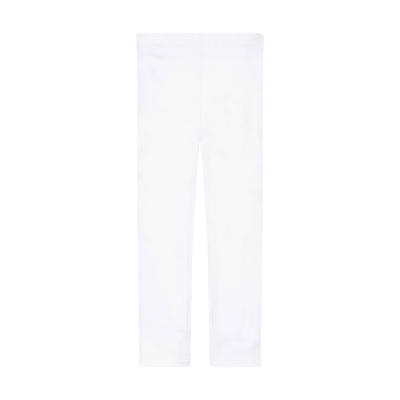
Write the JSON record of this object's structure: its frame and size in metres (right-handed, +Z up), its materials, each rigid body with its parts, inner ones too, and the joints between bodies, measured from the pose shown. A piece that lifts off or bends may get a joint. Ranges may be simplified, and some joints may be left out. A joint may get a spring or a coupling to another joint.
{
  "type": "leggings, laid flat",
  "caption": "Plain jersey leggings with an elastic waistband, a centre seam, inseams and turned-up hems, laid flat with the front up.",
  "frame": {"origin": "on the surface that the garment lies on, under the middle of its outline", "axes": "+X across the garment towards the wearer's left leg, +Y along it towards the waist, +Z up through the back layer and then the front layer"},
  "size_m": [0.2454, 0.64, 0.0059],
  "materials": {
    "waistband": "white fine jersey over elastic, gathered, matt",
    "left_leg": "white fine jersey, matt",
    "right_leg": "white fine jersey, matt",
    "left_hem": "white fine jersey, turned up and stitched, matt",
    "right_hem": "white fine jersey, turned up and stitched, matt"
  },
  "bodies": {
    "root": {"waistband": "waistband", "left_leg": "left_leg", "right_leg": "right_leg", "left_hem": "left_hem", "right_hem": "right_hem"}
  },
  "joints": []
}
